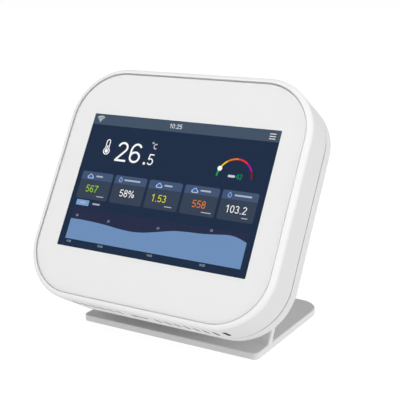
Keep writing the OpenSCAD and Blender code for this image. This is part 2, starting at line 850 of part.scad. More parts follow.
cover_glass();
border_mask();
glass_tape();
touch_sensor();
lcd_panel();
lcd_backlight();
lcd_frame();
display_flex();
front_housing();
back_cover();
case_screws();
main_board();
board_screws();
main_chips();
power_parts();
board_connectors();
power_inlet();
wifi_module();
wifi_shield();
pressure_sensor();
climate_board();
climate_chip();
co2_board();
co2_header();
co2_chamber();
gas_board();
gas_sensor();
pm_case();
pm_cover();
pm_detector_board();
pm_laser();
pm_fan_shaft();
pm_fan_rotor();
pm_gasket();
pm_cable();
stand();
stand_feet();
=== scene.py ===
import json
import math

import bmesh
import bpy
from mathutils import Matrix, Vector

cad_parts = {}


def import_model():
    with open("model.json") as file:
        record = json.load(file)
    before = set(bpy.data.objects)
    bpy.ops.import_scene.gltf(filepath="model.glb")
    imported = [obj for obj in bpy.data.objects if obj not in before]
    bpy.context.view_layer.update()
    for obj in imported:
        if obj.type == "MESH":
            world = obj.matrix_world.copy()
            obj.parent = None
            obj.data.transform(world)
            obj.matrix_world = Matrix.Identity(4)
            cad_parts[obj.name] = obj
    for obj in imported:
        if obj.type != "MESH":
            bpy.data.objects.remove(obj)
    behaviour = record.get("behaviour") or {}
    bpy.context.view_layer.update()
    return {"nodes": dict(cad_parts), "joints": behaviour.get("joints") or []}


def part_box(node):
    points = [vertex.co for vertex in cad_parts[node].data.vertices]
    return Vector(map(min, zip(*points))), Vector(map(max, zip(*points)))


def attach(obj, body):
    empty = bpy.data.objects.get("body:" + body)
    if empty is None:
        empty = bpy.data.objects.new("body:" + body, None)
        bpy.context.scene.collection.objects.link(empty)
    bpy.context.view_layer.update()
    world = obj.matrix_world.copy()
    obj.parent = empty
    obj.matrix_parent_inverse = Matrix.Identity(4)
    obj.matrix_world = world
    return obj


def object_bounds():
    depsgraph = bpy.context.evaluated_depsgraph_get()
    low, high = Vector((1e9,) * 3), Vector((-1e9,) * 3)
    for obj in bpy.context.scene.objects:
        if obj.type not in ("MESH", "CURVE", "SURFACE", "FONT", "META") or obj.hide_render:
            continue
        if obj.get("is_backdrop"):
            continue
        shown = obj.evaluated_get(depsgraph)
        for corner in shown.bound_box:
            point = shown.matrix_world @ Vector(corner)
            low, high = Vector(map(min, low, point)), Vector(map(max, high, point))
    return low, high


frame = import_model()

MM = 0.001
NODES = frame["nodes"]

# ------------------------------------------------------------------ the leaning frame

LIFT = next(j for j in frame["joints"] if j["name"] == "monitor_lift")
RIGHT = Vector((1, 0, 0))
UP = Vector(LIFT["axis"]).normalized()
OUT = RIGHT.cross(UP)


def leaning_slab(node):
    """Centre and thickness of a flat CAD node that leans with the screen."""
    low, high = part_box(node)
    size = high - low
    s, c = UP.y, UP.z
    return (low + high) / 2, (size.y * c - size.z * s) / (c * c - s * s)


GLASS_MID, GLASS_T = leaning_slab("cover_glass")
PANEL_MID, PANEL_T = leaning_slab("lcd_panel")
FACE_MID = GLASS_MID + OUT * GLASS_T / 2
PANEL_FRONT = PANEL_MID + OUT * PANEL_T / 2

# The lit picture of a 4.0 inch panel, and how far its ground runs on under the print
PICTURE_W, PICTURE_H = 83.52, 55.68
EDGE = 0.7


def on_picture(x, y, lift):
    """Point of the picture: x mm from its left, y mm down from its top, lift mm above the panel."""
    across = (x - PICTURE_W / 2) * MM
    up = (PICTURE_H / 2 - y) * MM
    return PANEL_FRONT + RIGHT * across + UP * up + OUT * (lift * MM)


# ------------------------------------------------------------------ materials

# Lowest and highest values that noise usually takes
NOISE_SPAN = (0.25, 0.75)

# Shade painted into the colour in the vent slots and the seam, from how closed in each point is: how
# far it reaches in mm, its tone, the samples it takes, the depths in mm behind the face between which
# it lies, and how open a point is where the painted shade is full and where it ends
SLOT_REACH, SLOT_TONE, SLOT_SAMPLES = 3.0, 0.03, 8
SLOT_DEPTHS = (3.0, 18.0)
SLOT_OPEN = (0.75, 1.0)

# Cosine of the slant of the glass's edge against its face, where it is all dull grey and where it is
# all clear. The dull grey is ground glass and painted shade for the dark line of the gap around the
# glass
GROUND_AND_SHADE_EDGE = (0.85, 0.97)


def srgb(r, g, b):
    """Linear colour from 0 to 255 screen values."""
    def line(v):
        v /= 255
        return v / 12.92 if v <= 0.04045 else ((v + 0.055) / 1.055) ** 2.4
    return (line(r), line(g), line(b), 1)


def new_material(name):
    """A new material, its node tree and its Principled shader."""
    mat = bpy.data.materials.new(name)
    mat.use_nodes = True
    return mat, mat.node_tree, mat.node_tree.nodes["Principled BSDF"]


def place_in_mm(tree, stretch=(1.0, 1.0, 1.0)):
    """Object coordinates in millimetres, stretched along each axis."""
    coords = tree.nodes.new("ShaderNodeTexCoord")
    mapping = tree.nodes.new("ShaderNodeMapping")
    mapping.inputs["Scale"].default_value = tuple(v / MM for v in stretch)
    tree.links.new(coords.outputs["Object"], mapping.inputs["Vector"])
    return mapping.outputs["Vector"]


def calculate(tree, operation, *values):
    """Result of a Math node on sockets and numbers."""
    node = tree.nodes.new("ShaderNodeMath")
    node.operation = operation
    for socket, value in zip(node.inputs, values):
        if isinstance(value, (int, float)):
            socket.default_value = value
        else:
            tree.links.new(value, socket)
    return node.outputs[0]


def map_range(tree, value, source, target, soft_ends=False):
    """Maps the source range of a value onto the target range."""
    node = tree.nodes.new("ShaderNodeMapRange")
    if soft_ends:
        node.interpolation_type = "SMOOTHSTEP"
    for name, number in zip(("From Min", "From Max", "To Min", "To Max"), source + target):
        node.inputs[name].default_value = number
    tree.links.new(value, node.inputs["Value"])
    return node.outputs["Result"]


def noise(tree, vector, scale, detail=3.0):
    """Smooth noise; a scale of 1 gives lumps about a millimetre wide."""
    node = tree.nodes.new("ShaderNodeTexNoise")
    node.inputs["Scale"].default_value = scale
    node.inputs["Detail"].default_value = detail
    tree.links.new(vector, node.inputs["Vector"])
    return node.outputs["Fac"]


def spread(tree, value, low, high):
    """Maps the usual span of noise to low..high."""
    return map_range(tree, value, NOISE_SPAN, (low, high))


def blend_colours(tree, value, dark, light):
    """Colour between dark and light as the value goes from 0 to 1."""
    node = tree.nodes.new("ShaderNodeMix")
    node.data_type = "RGBA"
    node.inputs["A"].default_value = dark
    node.inputs["B"].default_value = light
    tree.links.new(value, node.inputs["Factor"])
    return node.outputs["Result"]


def add_bump(tree, shader, height, depth_mm):
    """Roughens the shader's surface by a height from 0 to 1 over depth_mm."""
    node = tree.nodes.new("ShaderNodeBump")
    node.inputs["Strength"].default_value = 1.0
    node.inputs["Distance"].default_value = depth_mm * MM
    tree.links.new(height, node.inputs["Height"])
    tree.links.new(node.outputs["Normal"], shader.inputs["Normal"])


def shade(colour, factor):
    """The colour made darker or lighter by a factor."""
    return tuple(min(1.0, v * factor) for v in colour[:3]) + (1,)


def along_out(tree, coordinate):
    """How far an object coordinate reaches in the direction that the screen faces."""
    coords = tree.nodes.new("ShaderNodeTexCoord")
    dot = tree.nodes.new("ShaderNodeVectorMath")
    dot.operation = "DOT_PRODUCT"
    dot.inputs[1].default_value = OUT
    tree.links.new(coords.outputs[coordinate], dot.inputs[0])
    return dot.outputs["Value"]


def behind_face(tree, depth_mm):
    """1 where a point of the leaning case lies more than depth_mm behind the face of the glass."""
    return calculate(tree, "LESS_THAN", along_out(tree, "Object"), OUT.dot(FACE_MID) - depth_mm * MM)


def painted_slot_shade(tree, colour):
    """The colour, with shade painted into the slots and the seam that lie behind the face."""
    crevice = tree.nodes.new("ShaderNodeAmbientOcclusion")
    crevice.only_local = True
    crevice.samples = SLOT_SAMPLES
    crevice.inputs["Distance"].default_value = SLOT_REACH * MM
    tone = map_range(tree, crevice.outputs["AO"], SLOT_OPEN, (SLOT_TONE, 1.0))
    start, end = (behind_face(tree, depth) for depth in SLOT_DEPTHS)
    where = tree.nodes.new("ShaderNodeMix")
    where.inputs["A"].default_value = 1.0
    tree.links.new(calculate(tree, "SUBTRACT", start, end), where.inputs["Factor"])
    tree.links.new(tone, where.inputs["B"])
    dark = tree.nodes.new("ShaderNodeVectorMath")
    dark.operation = "SCALE"
    tree.links.new(colour, dark.inputs[0])
    tree.links.new(where.outputs["Result"], dark.inputs["Scale"])
    return dark.outputs["Vector"]


def moulded(name, colour, rough=0.45, grain=4.0, depth=0.006, specular=0.5, slots=False):
    """Moulded plastic: a fine eroded grain, slightly uneven gloss and colour, and, with slots, shade
    painted into its vent slots and seam.
    """
    mat, tree, shader = new_material(name)
    where = place_in_mm(tree)
    fine = noise(tree, where, grain, detail=2.0)
    broad = noise(tree, where, scale=0.05, detail=2.0)
    tone = blend_colours(tree, broad, shade(colour, 0.985), shade(colour, 1.01))
    # painted shade in the vent slots and the seam
    if slots:
        tone = painted_slot_shade(tree, tone)
    tree.links.new(tone, shader.inputs["Base Color"])
    tree.links.new(spread(tree, fine, rough - 0.05, rough + 0.05), shader.inputs["Roughness"])
    shader.inputs["Specular IOR Level"].default_value = specular
    add_bump(tree, shader, fine, depth)
    return mat


def metal(name, colour, rough=0.28, stretch=(0.3, 6.0, 6.0)):
    """Rolled or turned metal with fine lines in one direction."""
    mat, tree, shader = new_material(name)
    lines = noise(tree, place_in_mm(tree, stretch), scale=1.0, detail=4.0)
    tree.links.new(blend_colours(tree, lines, shade(colour, 0.9), shade(colour, 1.05)),
                   shader.inputs["Base Color"])
    tree.links.new(spread(tree, lines, rough - 0.06, rough + 0.08), shader.inputs["Roughness"])
    shader.inputs["Metallic"].default_value = 1.0
    add_bump(tree, shader, lines, 0.002)
    return mat


# Cells of the track pattern per millimetre, and where a track ends, in cells
TRACK_SCALE, TRACK_EDGE = 0.35, (0.03, 0.06)


def circuit(name, colour):
    """Solder mask over copper: tracks a shade lighter than the board, under a glossy coat."""
    mat, tree, shader = new_material(name)
    where = place_in_mm(tree)
    cells = tree.nodes.new("ShaderNodeTexVoronoi")
    cells.distance = "MANHATTAN"
    cells.feature = "DISTANCE_TO_EDGE"
    cells.inputs["Scale"].default_value = TRACK_SCALE
    tree.links.new(where, cells.inputs["Vector"])
    tracks = map_range(tree, cells.outputs["Distance"], TRACK_EDGE, (1.0, 0.0))
    tree.links.new(blend_colours(tree, tracks, colour, shade(colour, 1.9)),
                   shader.inputs["Base Color"])
    gloss = spread(tree, noise(tree, where, scale=1.5), 0.22, 0.34)
    tree.links.new(gloss, shader.inputs["Roughness"])
    shader.inputs["Coat Weight"].default_value = 0.5
    add_bump(tree, shader, tracks, 0.02)
    return mat


def soft(name, colour, rough, grain, depth):
    """Rubber or foam: dull, with open pores whose pits are painted darker as their shade."""
    mat, tree, shader = new_material(name)
    where = place_in_mm(tree)
    pores = tree.nodes.new("ShaderNodeTexVoronoi")
    pores.inputs["Scale"].default_value = grain
    tree.links.new(where, pores.inputs["Vector"])
    # painted shade: the colour darkens in the pits of the pores
    tree.links.new(blend_colours(tree, pores.outputs["Distance"], shade(colour, 0.8), colour),
                   shader.inputs["Base Color"])
    tree.links.new(spread(tree, noise(tree, where, grain), rough - 0.05, rough + 0.05),
                   shader.inputs["Roughness"])
    add_bump(tree, shader, pores.outputs["Distance"], depth)
    return mat


def printed_film(name, colour, rough, specular=0.5):
    """Ink printed on the back of the glass, with the faint mottle of a screen print."""
    mat, tree, shader = new_material(name)
    where = place_in_mm(tree)
    mottle = noise(tree, where, scale=0.12, detail=4.0)
    tree.links.new(blend_colours(tree, mottle, shade(colour, 0.99), shade(colour, 1.01)),
                   shader.inputs["Base Color"])
    tree.links.new(spread(tree, mottle, rough - 0.04, rough + 0.04), shader.inputs["Roughness"])
    shader.inputs["Specular IOR Level"].default_value = specular
    add_bump(tree, shader, noise(tree, where, scale=3.0), 0.001)
    return mat


def clear_glass(name, tint, rough, facing, grazing, ground=None):
    """Thin clear sheet: it mirrors a little head on and more at a slant, with a faint smear.
    Its cut edge can be a dull grey of the tone given: ground glass, and painted shade for the dark
    line of the gap around it."""
    mat, tree, shader = new_material(name)
    tree.nodes.remove(shader)
    clear = tree.nodes.new("ShaderNodeBsdfTransparent")
    clear.inputs["Color"].default_value = tint
    mirror = tree.nodes.new("ShaderNodeBsdfGlossy")
    mirror.inputs["Color"].default_value = (1, 1, 1, 1)
    smear = noise(tree, place_in_mm(tree), scale=0.08)
    tree.links.new(spread(tree, smear, rough, rough + 0.03), mirror.inputs["Roughness"])
    slant = tree.nodes.new("ShaderNodeLayerWeight")
    slant.inputs["Blend"].default_value = 0.5
    power = calculate(tree, "POWER", slant.outputs["Facing"], 5)
    surface = mix_shaders(tree, calculate(tree, "MULTIPLY_ADD", power, grazing, facing),
                          clear.outputs[0], mirror.outputs[0])
    if ground is not None:
        # dull grey edge: ground glass and painted shade for the dark line of the gap
        dull = tree.nodes.new("ShaderNodeBsdfDiffuse")
        dull.inputs["Color"].default_value = (ground, ground, ground, 1)
        slope = calculate(tree, "ABSOLUTE", along_out(tree, "Normal"))
        flat = map_range(tree, slope, GROUND_AND_SHADE_EDGE, (0.0, 1.0))
        surface = mix_shaders(tree, flat, dull.outputs[0], surface)
    tree.links.new(surface, tree.nodes["Material Output"].inputs["Surface"])
    return mat


def mix_shaders(tree, amount, first, second):
    """The first shader where the amount is 0 and the second where it is 1."""
    node = tree.nodes.new("ShaderNodeMixShader")
    tree.links.new(amount, node.inputs["Fac"])
    tree.links.new(first, node.inputs[1])
    tree.links.new(second, node.inputs[2])
    return node.outputs[0]


# Pitch of the display's dots in mm, the wave texture's bands per mm at a scale of 1, and the
# colour of an unlit dot
DOT, WAVE_BANDS = 0.174, 3.18
UNLIT = (0.002, 0.002, 0.003, 1)


def lit_dots(name, colour):
    """Light from the display: one colour with the faint grid between its dots."""
    mat, tree, shader = new_material(name)
    where = place_in_mm(tree)
    grid = tree.nodes.new("ShaderNodeTexWave")
    grid.inputs["Scale"].default_value = 1 / DOT / WAVE_BANDS
    grid.bands_direction = "X"
    tree.links.new(where, grid.inputs["Vector"])
    light = blend_colours(tree, grid.outputs["Fac"], shade(colour, 0.97), shade(colour, 1.0))
    tree.links.new(light, shader.inputs["Emission Color"])
    shader.inputs["Emission Strength"].default_value = 1.0
    shader.inputs["Base Color"].default_value = UNLIT
    shader.inputs["Roughness"].default_value = 0.5
    shader.inputs["Specular IOR Level"].default_value = 0.0
    return mat


WHITE = srgb(210, 210, 210)
STAND_WHITE = srgb(213, 213, 213)
STEEL = (0.62, 0.63, 0.65, 1)
BOARD_GREEN = (0.012, 0.12, 0.04, 1)
EPOXY_BLACK = (0.02, 0.02, 0.022, 1)
TURNED = (3.0, 3.0, 3.0)
NODE_MATERIALS = {
    # The case's two plastics have shade painted into their vent slots and seam.
    "front_housing": moulded("housing_plastic", WHITE, rough=0.5, specular=0.1, slots=True),
    "back_cover": moulded("cover_plastic", WHITE, rough=0.5, specular=0.1, slots=True),
    "stand": moulded("stand_plastic", STAND_WHITE, rough=0.4),
    "stand_feet": soft("silicone", (0.6, 0.6, 0.6, 1), rough=0.55, grain=3.0, depth=0.01),
    # The glass's edge is a dull grey: ground glass and painted shade for the dark line of the gap
    # around it.
    "cover_glass": clear_glass("cover_glass", (0.99, 0.99, 0.99, 1), rough=0.02, facing=0.014,
                               grazing=0.6, ground=0.55),
    "touch_sensor": clear_glass("touch_layer", (0.995, 0.997, 0.997, 1), rough=0.05, facing=0.001,
                                grazing=0.05),
    "border_mask": printed_film("border_print", srgb(214, 214, 214), rough=0.5, specular=0.1),
    "glass_tape": soft("foam_tape", (0.9, 0.9, 0.9, 1), rough=0.8, grain=5.0, depth=0.02),
    "lcd_panel": printed_film("panel_glass", (0.015, 0.018, 0.022, 1), rough=0.2),
    "lcd_backlight": printed_film("light_guide", (0.85, 0.85, 0.8, 1), rough=0.3),
    "lcd_frame": metal("display_tray", STEEL),
    "display_flex": printed_film("amber_film", (0.55, 0.25, 0.03, 1), rough=0.3),
    "case_screws": metal("case_screw_steel", STEEL, rough=0.25, stretch=TURNED),
    "board_screws": metal("board_screw_steel", STEEL, rough=0.25, stretch=TURNED),
    "main_board": circuit("main_board", BOARD_GREEN),
    "climate_board": circuit("climate_board", BOARD_GREEN),
    "co2_board": circuit("co2_board", BOARD_GREEN),
    "gas_board": circuit("gas_board", BOARD_GREEN),
    "pm_detector_board": circuit("detector_board", BOARD_GREEN),
    "wifi_module": circuit("wifi_board", (0.01, 0.04, 0.14, 1)),
    "main_chips": moulded("chip_epoxy", EPOXY_BLACK, rough=0.5, grain=6.0, depth=0.004),
    "climate_chip": moulded("small_chip_epoxy", EPOXY_BLACK, rough=0.5, grain=8.0, depth=0.003),
    "power_parts": moulded("coil_ferrite", (0.05, 0.05, 0.055, 1), rough=0.55, grain=5.0, depth=0.01),
    "co2_header": moulded("header_nylon", EPOXY_BLACK, rough=0.5),
    "board_connectors": moulded("connector_nylon", (0.75, 0.72, 0.6, 1), rough=0.5),
    "power_inlet": metal("inlet_shell", (0.3, 0.3, 0.31, 1), rough=0.3),
    "wifi_shield": metal("shield_can", (0.68, 0.69, 0.71, 1), rough=0.3),
    "pressure_sensor": metal("sensor_lid", (0.7, 0.7, 0.72, 1), rough=0.25, stretch=TURNED),
    "co2_chamber": metal("gold_chamber", (0.83, 0.6, 0.22, 1), rough=0.25),
    "gas_sensor": metal("gas_can", (0.68, 0.68, 0.7, 1), rough=0.25),
    "pm_case": moulded("dust_case", (0.025, 0.025, 0.028, 1), rough=0.5),
    "pm_cover": metal("dust_cover", (0.64, 0.65, 0.67, 1), rough=0.32),
    "pm_laser": metal("laser_brass", (0.75, 0.5, 0.18, 1), rough=0.22),
    "pm_fan_shaft": metal("shaft_steel", STEEL, rough=0.15, stretch=(6.0, 6.0, 0.5)),
    "pm_fan_rotor": moulded("rotor_plastic", (0.04, 0.04, 0.045, 1)),
    "pm_gasket": soft("gasket_foam", (0.05, 0.05, 0.053, 1), rough=0.9, grain=2.5, depth=0.08),
    "pm_cable": moulded("cable_jacket", (0.7, 0.7, 0.66, 1), rough=0.5),
}

# Points closer than the first, in metres, are one, and faces that meet at more than the second,
# in degrees, keep a sharp edge between them
WELD_DISTANCE, SHARP_ANGLE = 1e-6, 32

# How strongly faces count by their area towards the shading at a point, and the difference in
# area, in square metres, below which they count alike
FACE_WEIGHT, FACE_THRESHOLD = 100, 0.1


def crisp_normals(piece):
    """Shades the piece smoothly, but sharply across its edges."""
    weld = piece.modifiers.new("weld", "WELD")
    weld.merge_threshold = WELD_DISTANCE
    split = piece.modifiers.new("split", "EDGE_SPLIT")
    split.split_angle = math.radians(SHARP_ANGLE)
    even = piece.modifiers.new("even", "WEIGHTED_NORMAL")
    even.weight = FACE_WEIGHT
    even.thresh = FACE_THRESHOLD


for node_name, node_material in NODE_MATERIALS.items():
    mesh = NODES[node_name].data
    mesh.materials.clear()
    mesh.materials.append(node_material)
    mesh.shade_smooth()
    crisp_normals(NODES[node_name])


# ------------------------------------------------------------------ flat pieces of the picture

CORNER_STEPS = 8


def arc(x, y, radius, start, end, steps=24):
    """Points on an arc in picture millimetres; angles in degrees, anticlockwise from the right."""
    points = []
    for i in range(steps + 1):
        a = math.radians(start + (end - start) * i / steps)
        points.append((x + radius * math.cos(a), y - radius * math.sin(a)))
    return points


def rounded_box(x0, y0, x1, y1, radius):
    """Outline of a box with round corners."""
    r = min(radius, (x1 - x0) / 2, (y1 - y0) / 2)
    corners = ((x1 - r, y0 + r), (x0 + r, y0 + r), (x0 + r, y1 - r), (x1 - r, y1 - r))
    outline = []
    for i, (x, y) in enumerate(corners):
        outline += arc(x, y, r, 90 * i, 90 * i + 90, CORNER_STEPS)
    return outline


def box(x0, y0, x1, y1):
    """Outline of a box with square corners."""
    return [(x0, y0), (x1, y0), (x1, y1), (x0, y1)]


def disc(x, y, radius):
    """Outline of a circle with 24 points."""
    return arc(x, y, radius, 0, 345, 23)


def stroke(points, width):
    """Outline of a line of even width along the points, with square ends and mitred corners."""
    left, right = [], []
    last = len(points) - 1
    sides = []
    for (ax, ay), (bx, by) in zip(points, points[1:]):
        length = math.hypot(bx - ax, by - ay)
        sides.append(((ay - by) / length, (bx - ax) / length))
    for i, (x, y) in enumerate(points):
        (ax, ay), (bx, by) = sides[max(i - 1, 0)], sides[min(i, last - 1)]
        mitre = max(1 + ax * bx + ay * by, 0.5)
        nx, ny = (ax + bx) / mitre * width / 2, (ay + by) / mitre * width / 2
        left.append((x + nx, y + ny))
        right.append((x - nx, y - ny))
    return left + right[::-1]


def bend(x, y, rx, ry, start, end, steps=12):
    """Points along part of an ellipse in a numeral's own frame: height 1, y up, anticlockwise."""
    turns = [math.radians(start + (end - start) * i / steps) for i in range(steps + 1)]
    return [(x + rx * math.cos(t), y + ry * math.sin(t)) for t in turns]


def loop(x, y, rx, ry):
    """The two halves of a whole ellipse."""
    return [bend(x, y, rx, ry, 90, 270), bend(x, y, rx, ry, -90, 90)]


# Each numeral: its advance, then the middle lines of its strokes, for a height of 1
NUMERALS = {
    "0": (0.66, loop(0.33, 0.5, 0.22, 0.44)),
    "1": (0.66, [[(0.41, 0), (0.41, 1)], [(0.39, 0.95), (0.29, 0.83), (0.16, 0.75)]]),
    "2": (0.66, [bend(0.33, 0.71, 0.21, 0.23, 170, -35) + [(0.12, 0.1)], [(0.06, 0.06), (0.6, 0.06)]]),
    "3": (0.66, [bend(0.31, 0.73, 0.2, 0.21, 160, -90), bend(0.31, 0.285, 0.23, 0.225, 90, -160)]),
    "4": (0.66, [[(0.47, 0), (0.47, 1)], [(0.45, 0.94), (0.08, 0.3)], [(0.04, 0.29), (0.63, 0.29)]]),
    "5": (0.66, [[(0.57, 0.94), (0.19, 0.94), (0.12, 0.5)], bend(0.32, 0.32, 0.23, 0.26, 140, -155)]),
    "6": (0.66, loop(0.33, 0.3, 0.22, 0.24) + [bend(0.35, 0.6, 0.24, 0.34, 35, 180) + [(0.11, 0.3)]]),
    "7": (0.66, [[(0.06, 0.94), (0.6, 0.94)], [(0.57, 0.93), (0.4, 0.62), (0.29, 0.3), (0.25, 0)]]),
    "8": (0.66, loop(0.33, 0.73, 0.19, 0.21) + loop(0.33, 0.28, 0.225, 0.225)),
    "%": (1.04, loop(0.21, 0.74, 0.13, 0.2) + loop(0.81, 0.26, 0.13, 0.2) + [[(0.72, 1), (0.3, 0)]]),
    "C": (0.8, [bend(0.42, 0.5, 0.33, 0.44, 45, 315)]),
    ".": (0.34, [[(0.17, 0), (0.17, 0.13)]]),
    ":": (0.34, [[(0.17, 0.02), (0.17, 0.15)], [(0.17, 0.58), (0.17, 0.71)]]),
}


class Picture:
    """Collects flat shapes of one colour and makes one thin piece of them."""

    def __init__(self, name, colour, low, high):
        self.name = name
        self.material = lit_dots(name + "_light", colour)
        self.low, self.high = low, high
        self.bm = bmesh.new()

    def add(self, outline):
        """A flat shape with this outline in picture millimetres."""
        top = [self.bm.verts.new(on_picture(x, y, self.high)) for x, y in outline]
        base = [self.bm.verts.new(on_picture(x, y, self.low)) for x, y in outline]
        count = len(outline)
        self.bm.faces.new(top)
        self.bm.faces.new(base[::-1])
        for i in range(count):
            j = (i + 1) % count
            self.bm.faces.new((top[i], base[i], base[j], top[j]))
        return self

    def write(self, words, x, y, height, width=1.0, weight=0.12):
        """Numerals standing on y, height mm tall; x is their left edge, weight their line's width."""
        for mark in words:
            advance, lines = NUMERALS[mark]
            for line in lines:
                points = [(x + u * height * width, y - v * height) for u, v in line]
                self.add(stroke(points, weight * height))
            x += advance * height * width
        return self

    def make(self):
        """The piece, lying on the display and moving with the monitor."""
        bmesh.ops.recalc_face_normals(self.bm, faces=self.bm.faces)
        mesh = bpy.data.meshes.new(self.name)
        self.bm.to_mesh(mesh)
        self.bm.free()
        mesh.materials.append(self.material)
        piece = bpy.data.objects.new(self.name, mesh)
        bpy.context.scene.collection.objects.link(piece)
        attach(piece, "monitor")
        return piece


# Heights above the panel of the picture's layers, in mm
GROUND = (0.005, 0.03)
DUSK = (0.03, 0.038)
BARS = (0.03, 0.05)
HEADS = (0.05, 0.07)
RIMS = (0.07, 0.082)
MARKS = (0.07, 0.095)
KNOB = (0.095, 0.115)
HOLLOW = (0.095, 0.105)
FLUID = (0.105, 0.115)

NAVY = srgb(26, 44, 70)
NAVY_DEEP = srgb(37, 44, 72)
SLATE = srgb(68, 84, 103)
CARD = srgb(54, 66, 85)
CARD_HEAD = srgb(66, 86, 118)
CHART = srgb(112, 146, 191)
LAMP_WHITE = srgb(255, 255, 255)
SOFT_WHITE = srgb(205, 212, 222)
DIM_WHITE = srgb(178, 186, 200)
FAINT_WHITE = srgb(150, 158, 175)
LIME = srgb(165, 212, 28)
YELLOW = srgb(228, 226, 20)
ORANGE = srgb(235, 128, 28)
GREEN = srgb(0, 160, 80)
ICON_BLUE = srgb(35, 108, 200)
TAB_BLUE = srgb(125, 163, 215)

# The layout from here on is in mm from the picture's top left corner
STATUS_FOOT = 4.4


def picture_ground():
    """The dark ground, a little larger than the picture, and the bar along its top."""
    ground = Picture("picture_ground", NAVY, *GROUND)
    ground.add(box(-EDGE, -EDGE, PICTURE_W + EDGE, PICTURE_H + EDGE))
    ground.make()
    bar = Picture("status_bar", SLATE, *BARS)
    bar.add(box(-EDGE, -EDGE, PICTURE_W + EDGE, STATUS_FOOT))
    bar.make()


def cloud(x, y, size):
    """Small cloud outline standing on y, size mm wide."""
    r = size / 2
    return (arc(x - r * 0.55, y - r * 0.42, r * 0.42, 270, 110, 8)
            + arc(x, y - r * 0.75, r * 0.55, 150, 20, 10)
            + arc(x + r * 0.6, y - r * 0.38, r * 0.38, 80, -90, 8))


def drop(x, y, size):
    """Small water drop, its tip above."""
    r = size / 2
    return [(x, y - r * 1.7)] + arc(x, y, r, 30, -210, 16)


CARD_LEFT, CARD_PITCH, CARD_W = 1.9, 16.0, 14.8
CARD_TOP, CARD_SPLIT, CARD_FOOT, CARD_R = 24.4, 27.75, 35.7, 0.8
VALUE_FOOT, VALUE_H = 32.8, 2.9
ICON_FOOT = CARD_SPLIT - 0.75
LABEL_TOP, LABEL_FOOT = ICON_FOOT - 1.25, ICON_FOOT - 0.6
UNIT_TOP, UNIT_FOOT = 34.05, 34.4

# Each icon: how far below the icons' foot it stands and its size, for its rim and for its fill
ICONS = {
    cloud: ((0.25, 3.0), (0.0, 2.2)),
    drop: ((-0.7, 1.6), (-0.7, 1.3)),
}

# Each card: its value's piece, figures and colour, and, in mm from the card's left, where the
# value starts, its icon's shape and place, and the bars that stand for its label and its unit
CARDS = [
    ("carbon_value", "567", LIME, 3.5, cloud, 4.3, (6.9, 10.1), (9.6, 13.0)),
    ("humidity_value", "58%", LAMP_WHITE, 3.7, drop, 2.75, (4.4, 11.9), None),
    ("vapour_value", "1.53", YELLOW, 2.3, cloud, 4.6, (6.9, 10.5), (9.2, 12.4)),
    ("dust_value", "558", ORANGE, 4.5, cloud, 4.4, (6.7, 11.2), (9.2, 13.4)),
    ("pressure_value", "103.2", LAMP_WHITE, 2.5, drop, 3.1, (5.1, 12.2), (9.9, 12.4)),
]


def cards():
    """The five cards, each with a lighter head."""
    bodies = Picture("value_cards", CARD, *BARS)
    heads = Picture("card_heads", CARD_HEAD, *HEADS)
    for i in range(len(CARDS)):
        x = CARD_LEFT + i * CARD_PITCH
        bodies.add(rounded_box(x, CARD_TOP, x + CARD_W, CARD_FOOT, CARD_R))
        heads.add(arc(x + CARD_W - CARD_R, CARD_TOP + CARD_R, CARD_R, 0, 90, CORNER_STEPS)
                  + arc(x + CARD_R, CARD_TOP + CARD_R, CARD_R, 90, 180, CORNER_STEPS)
                  + [(x, CARD_SPLIT), (x + CARD_W, CARD_SPLIT)])
    bodies.make()
    heads.make()


def card_marks():
    """The value, the icon and the bars on each card."""
    rims = Picture("icon_rims", SOFT_WHITE, *RIMS)
    fills = Picture("icon_fills", ICON_BLUE, *MARKS)
    labels = Picture("card_labels", DIM_WHITE, *MARKS)
    for i, (name, words, colour, value_x, icon, icon_x, label, unit) in enumerate(CARDS):
        x = CARD_LEFT + i * CARD_PITCH
        value = Picture(name, colour, *MARKS)
        value.write(words, x + value_x, VALUE_FOOT, VALUE_H, width=1.05, weight=0.1)
        value.make()
        for marks, (lower, size) in zip((rims, fills), ICONS[icon]):
            marks.add(icon(x + icon_x, ICON_FOOT + lower, size))
        labels.add(rounded_box(x + label[0], LABEL_TOP, x + label[1], LABEL_FOOT, 0.3))
        if unit:
            labels.add(rounded_box(x + unit[0], UNIT_TOP, x + unit[1], UNIT_FOOT, 0.15))
    rims.make()
    fills.make()
    labels.make()


READING_X, READING_FOOT, READING_H = 14.3, 18.9, 8.3
TENTHS_X, TENTHS_H = 29.9, 4.6
DEGREE_X, DEGREE_Y, DEGREE_R = 30.7, 9.8, 0.3


def big_reading():
    """The temperature with its tenths, the degree sign and the unit."""
    white = Picture("temperature_value", LAMP_WHITE, *MARKS)
    white.write("26", READING_X, READING_FOOT, READING_H, width=1.16, weight=0.1)
    white.add(disc(TENTHS_X - 1.0, READING_FOOT - 0.5, 0.55))
    white.write("5", TENTHS_X, READING_FOOT, TENTHS_H, width=1.05, weight=0.105)
    white.write("C", DEGREE_X + 0.5, DEGREE_Y + 2.5, 2.3, weight=0.1)
    for half in loop(DEGREE_X, DEGREE_Y, DEGREE_R, DEGREE_R):
        white.add(stroke(half, 0.15))
    white.make()


# The thermometer: its middle line, the centres of its round top and its bulb, and their radii
# for the shell, the hollow inside it and the fluid
TUBE_X, TUBE_TOP, BULB_Y = 9.95, 11.15, 15.2
TUBE_R, TUBE_HOLLOW, FLUID_HALF = 0.95, 0.55, 0.22
BULB_R, BULB_HOLLOW, FLUID_R = 1.55, 1.15, 0.8
FLUID_TOP = 12.8


